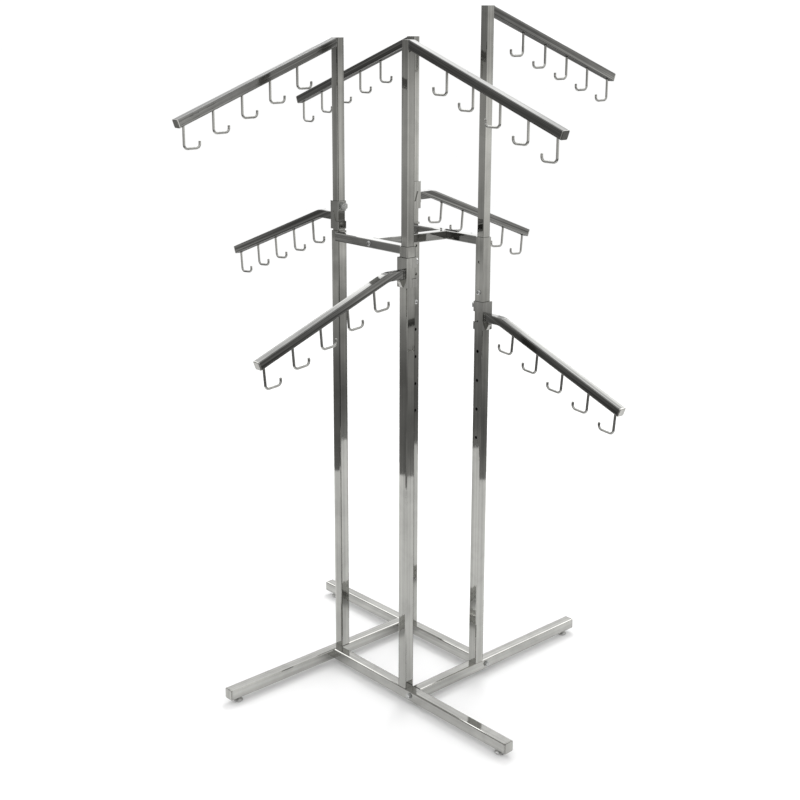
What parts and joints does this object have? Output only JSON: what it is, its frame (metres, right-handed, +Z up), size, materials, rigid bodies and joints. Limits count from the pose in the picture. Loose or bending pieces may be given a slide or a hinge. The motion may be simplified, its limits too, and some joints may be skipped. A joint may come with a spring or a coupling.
{
  "type": "four way clothing rack",
  "caption": "Four way clothing rack in chromed square tube, with slanted arms carrying wire hooks at two levels, adjustable heights and a pinwheel base on levelling feet.",
  "frame": {"origin": "centre of the base at floor level", "axes": "+Z up; +X along the front leg, the way its arm at the top points; +Y along the right leg"},
  "size_m": [1.2208, 1.1628, 1.7512],
  "materials": {
    "chrome": "polished chrome plating on square steel tube",
    "saddle": "chrome plated bent strap, slightly duller than the tube",
    "zinc": "bright zinc plated screws, bolts and levelling feet",
    "cap": "chromed end caps with a rounded edge"
  },
  "bodies": {
    "stand": {"leg_front": "chrome", "leg_cap_front": "cap", "base_bolt_front": "zinc", "post_front": "chrome", "leg_right": "chrome", "leg_cap_right": "cap", "base_bolt_right": "zinc", "post_right": "chrome", "leg_back": "chrome", "leg_cap_back": "cap", "base_bolt_back": "zinc", "post_back": "chrome", "leg_left": "chrome", "leg_cap_left": "cap", "base_bolt_left": "zinc", "post_left": "chrome", "side_bar_left": "chrome", "side_bar_right": "chrome", "crossbar": "chrome", "crossbar_screw_left": "zinc", "crossbar_screw_right": "zinc"},
    "top_front": {"tube_front": "chrome", "top_arm_front": "chrome", "top_arm_cap_front": "cap"},
    "lower_front": {"saddle_front": "saddle", "lower_arm_front": "chrome", "lower_arm_cap_front": "cap"},
    "clamp_front": {"clamp_screw_front": "zinc"},
    "lock_front": {"lock_screw_front": "zinc"},
    "foot_front": {"levelling_foot_front": "zinc"},
    "top_right": {"tube_right": "chrome", "top_arm_right": "chrome", "top_arm_cap_right": "cap"},
    "lower_right": {"saddle_right": "saddle", "lower_arm_right": "chrome", "lower_arm_cap_right": "cap"},
    "clamp_right": {"clamp_screw_right": "zinc"},
    "lock_right": {"lock_screw_right": "zinc"},
    "foot_right": {"levelling_foot_right": "zinc"},
    "top_back": {"tube_back": "chrome", "top_arm_back": "chrome", "top_arm_cap_back": "cap"},
    "lower_back": {"saddle_back": "saddle", "lower_arm_back": "chrome", "lower_arm_cap_back": "cap"},
    "clamp_back": {"clamp_screw_back": "zinc"},
    "lock_back": {"lock_screw_back": "zinc"},
    "foot_back": {"levelling_foot_back": "zinc"},
    "top_left": {"tube_left": "chrome", "top_arm_left": "chrome", "top_arm_cap_left": "cap"},
    "lower_left": {"saddle_left": "saddle", "lower_arm_left": "chrome", "lower_arm_cap_left": "cap"},
    "clamp_left": {"clamp_screw_left": "zinc"},
    "lock_left": {"lock_screw_left": "zinc"},
    "foot_left": {"levelling_foot_left": "zinc"}
  },
  "joints": [
    {"name": "tube_slide_front", "type": "slide", "parent": "stand", "child": "top_front", "axis": [0, 0, 1], "range_m": [-0.381, 0.1524]},
    {"name": "saddle_slide_front", "type": "slide", "parent": "stand", "child": "lower_front", "axis": [0, 0, 1], "range_m": [-0.105, 0]},
    {"name": "clamp_turn_front", "type": "hinge", "parent": "lower_front", "child": "clamp_front", "pos_m": [0.13, -0.112, 1.157], "axis": [0, 1, 0], "range_deg": [0, 360]},
    {"name": "lock_turn_front", "type": "hinge", "parent": "stand", "child": "lock_front", "pos_m": [0.1157, -0.129, 0.9808], "axis": [-1, 0, 0], "range_deg": [0, 360]},
    {"name": "foot_level_front", "type": "slide", "parent": "stand", "child": "foot_front", "axis": [0, 0, 1], "range_m": [-0.008, 0.004]},
    {"name": "tube_slide_right", "type": "slide", "parent": "stand", "child": "top_right", "axis": [0, 0, 1], "range_m": [-0.4572, 0.0762]},
    {"name": "saddle_slide_right", "type": "slide", "parent": "stand", "child": "lower_right", "axis": [0, 0, 1], "range_m": [-0.3, 0.01]},
    {"name": "clamp_turn_right", "type": "hinge", "parent": "lower_right", "child": "clamp_right", "pos_m": [0.141, 0.101, 1.02], "axis": [-1, 0, 0], "range_deg": [0, 360]},
    {"name": "lock_turn_right", "type": "hinge", "parent": "stand", "child": "lock_right", "pos_m": [0.158, 0.0867, 1.057], "axis": [0, -1, 0], "range_deg": [0, 360]},
    {"name": "foot_level_right", "type": "slide", "parent": "stand", "child": "foot_right", "axis": [0, 0, 1], "range_m": [-0.008, 0.004]},
    {"name": "tube_slide_back", "type": "slide", "parent": "stand", "child": "top_back", "axis": [0, 0, 1], "range_m": [0, 0.1524]},
    {"name": "saddle_slide_back", "type": "slide", "parent": "top_back", "child": "lower_back", "axis": [0, 0, 1], "range_m": [-0.03, 0.3]},
    {"name": "clamp_turn_back", "type": "hinge", "parent": "lower_back", "child": "clamp_back", "pos_m": [-0.13, 0.1145, 1.291], "axis": [0, -1, 0], "range_deg": [0, 360]},
    {"name": "lock_turn_back", "type": "hinge", "parent": "stand", "child": "lock_back", "pos_m": [-0.1157, 0.129, 0.9808], "axis": [1, 0, 0], "range_deg": [0, 360]},
    {"name": "foot_level_back", "type": "slide", "parent": "stand", "child": "foot_back", "axis": [0, 0, 1], "range_m": [-0.008, 0.004]},
    {"name": "tube_slide_left", "type": "slide", "parent": "stand", "child": "top_left", "axis": [0, 0, 1], "range_m": [0, 0.1524]},
    {"name": "saddle_slide_left", "type": "slide", "parent": "top_left", "child": "lower_left", "axis": [0, 0, 1], "range_m": [0, 0.3]},
    {"name": "clamp_turn_left", "type": "hinge", "parent": "lower_left", "child": "clamp_left", "pos_m": [-0.1435, -0.101, 1.259], "axis": [1, 0, 0], "range_deg": [0, 360]},
    {"name": "lock_turn_left", "type": "hinge", "parent": "stand", "child": "lock_left", "pos_m": [-0.158, -0.0867, 0.9808], "axis": [0, 1, 0], "range_deg": [0, 360]},
    {"name": "foot_level_left", "type": "slide", "parent": "stand", "child": "foot_left", "axis": [0, 0, 1], "range_m": [-0.008, 0.004]}
  ]
}
